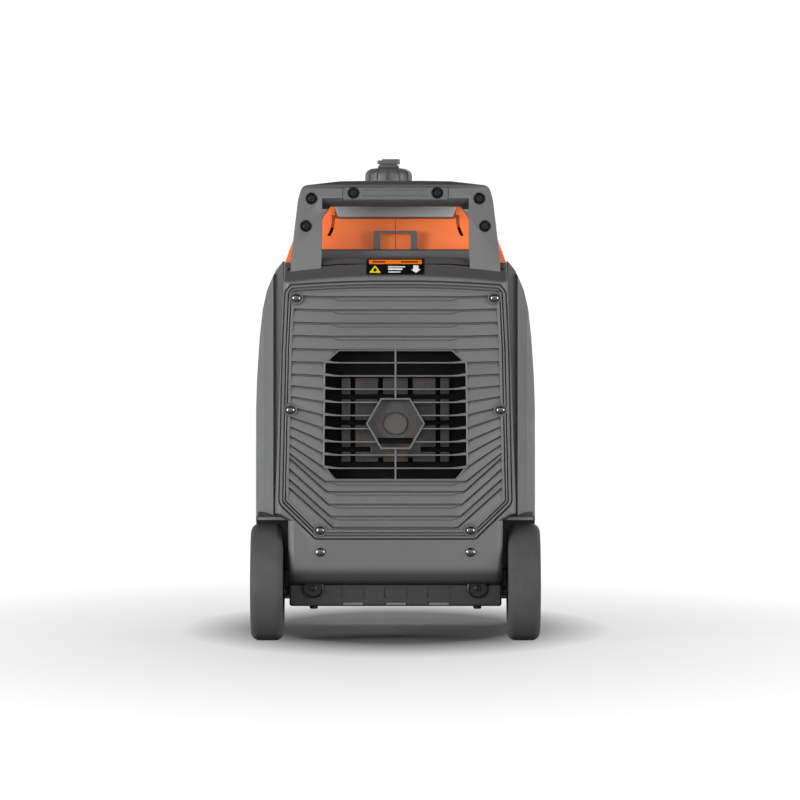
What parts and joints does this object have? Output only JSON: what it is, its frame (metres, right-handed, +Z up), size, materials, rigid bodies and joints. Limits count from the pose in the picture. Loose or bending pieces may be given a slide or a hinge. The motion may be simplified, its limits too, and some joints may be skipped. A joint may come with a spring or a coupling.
{
  "type": "portable generator",
  "caption": "Enclosed inverter generator with carrying handles, louvred exhaust grille, side service door, screw-on fuel cap, pull-out tow handle and transport wheels",
  "frame": {"origin": "ground level, under the middle of the overall box", "axes": "+Z up, +Y towards the control panel, -Y the exhaust end with the wheels, +X to the right seen from the exhaust end"},
  "size_m": [0.314, 0.604, 0.5315],
  "materials": {
    "body_plastic": "textured moulded plastic",
    "dark_plastic": "textured moulded plastic",
    "black_plastic": "satin moulded plastic",
    "orange_plastic": "semi-gloss moulded plastic",
    "rubber": "moulded rubber",
    "tyre_rubber": "moulded rubber",
    "steel": "zinc plated",
    "dark_steel": "powder coated",
    "cast_alloy": "as cast",
    "exhaust_steel": "heat resistant paint",
    "copper": "enamelled windings",
    "ceramic": "glazed",
    "label": "printed label film",
    "switch_red": "moulded plastic",
    "button_white": "moulded plastic",
    "display": "tinted window"
  },
  "bodies": {
    "root": {"base_tray": "dark_plastic", "rear_frame": "body_plastic", "front_frame": "body_plastic", "side_cover_left": "body_plastic", "side_cover_right": "body_plastic", "top_cover_left": "orange_plastic", "top_cover_right": "orange_plastic", "top_deck": "body_plastic", "cover_keeper": "dark_plastic", "exhaust_grille": "body_plastic", "grille_screws": "steel", "frame_screws": "steel", "warning_plate": "label", "handle_rear_outer": "body_plastic", "handle_rear_inner": "body_plastic", "handle_front_outer": "body_plastic", "handle_front_inner": "body_plastic", "handle_grips": "rubber", "handle_screws": "dark_steel", "axle_brackets": "dark_steel", "axle": "steel", "axle_caps": "black_plastic", "front_feet": "rubber", "tow_guides": "dark_plastic", "filler_neck": "steel", "fuel_tank": "dark_steel", "crankcase": "cast_alloy", "cylinder_barrel": "cast_alloy", "rocker_cover": "dark_steel", "stator": "copper", "recoil_housing": "black_plastic", "muffler": "exhaust_steel", "heat_shield": "exhaust_steel", "exhaust_outlet": "exhaust_steel", "carburettor": "cast_alloy", "air_cleaner": "black_plastic", "spark_plug": "ceramic", "inverter_module": "cast_alloy", "engine_mounts": "rubber", "control_panel": "black_plastic", "display_window": "display", "power_sockets": "dark_plastic", "ground_terminal": "steel"},
    "wheel_left": {"tyre_left": "tyre_rubber", "hub_left": "dark_plastic"},
    "wheel_right": {"tyre_right": "tyre_rubber", "hub_right": "dark_plastic"},
    "door": {"service_door": "body_plastic"},
    "latch": {"door_latch": "black_plastic"},
    "tow": {"tow_handle": "steel", "tow_grip": "rubber"},
    "tow_release": {"tow_button": "orange_plastic"},
    "cap": {"fuel_cap": "dark_plastic"},
    "vent": {"vent_knob": "dark_plastic"},
    "crank": {"crankshaft": "steel", "rotor_fan": "dark_steel"},
    "starter_grip": {"recoil_grip": "black_plastic"},
    "dial": {"engine_dial": "black_plastic"},
    "rocker": {"economy_switch": "switch_red"},
    "breaker": {"breaker_button": "button_white"}
  },
  "joints": [
    {"name": "wheel_left_spin", "type": "hinge", "parent": "root", "child": "wheel_left", "pos_m": [-0.14, -0.2385, 0.0635], "axis": [1, 0, 0], "continuous": true},
    {"name": "wheel_right_spin", "type": "hinge", "parent": "root", "child": "wheel_right", "pos_m": [0.14, -0.2385, 0.0635], "axis": [1, 0, 0], "continuous": true},
    {"name": "service_door_hinge", "type": "hinge", "parent": "root", "child": "door", "pos_m": [0.15, -0.12, 0.175], "axis": [0, 0, -1], "range_deg": [0, 110]},
    {"name": "door_latch_turn", "type": "hinge", "parent": "door", "child": "latch", "pos_m": [0.15, 0.046, 0.175], "axis": [1, 0, 0], "range_deg": [-90, 0]},
    {"name": "tow_handle_slide", "type": "slide", "parent": "root", "child": "tow", "axis": [0, 0, 1], "range_m": [0, 0.215]},
    {"name": "tow_button_press", "type": "slide", "parent": "tow", "child": "tow_release", "axis": [0, 0, -1], "range_m": [0, 0.002], "stiffness_N_per_m": 300},
    {"name": "fuel_cap_turn", "type": "hinge", "parent": "root", "child": "cap", "pos_m": [-0.008, 0, 0.5], "axis": [0, 0, 1], "range_deg": [0, 100]},
    {"name": "vent_knob_turn", "type": "hinge", "parent": "cap", "child": "vent", "pos_m": [-0.008, 0, 0.525], "axis": [0, 0, 1], "range_deg": [-90, 0]},
    {"name": "crankshaft_spin", "type": "hinge", "parent": "root", "child": "crank", "pos_m": [0, 0, 0.2], "axis": [0, 1, 0], "continuous": true},
    {"name": "starter_grip_pull", "type": "slide", "parent": "root", "child": "starter_grip", "axis": [-1, 0, 0], "range_m": [0, 0.45], "stiffness_N_per_m": 30},
    {"name": "engine_dial_turn", "type": "hinge", "parent": "root", "child": "dial", "pos_m": [-0.052, 0.278, 0.28], "axis": [0, 1, 0], "range_deg": [-45, 90]},
    {"name": "economy_switch_rock", "type": "hinge", "parent": "root", "child": "rocker", "pos_m": [0.05, 0.271, 0.28], "axis": [1, 0, 0], "range_deg": [-12, 12]},
    {"name": "breaker_button_press", "type": "slide", "parent": "root", "child": "breaker", "axis": [0, -1, 0], "range_m": [0, 0.0025], "stiffness_N_per_m": 300}
  ]
}
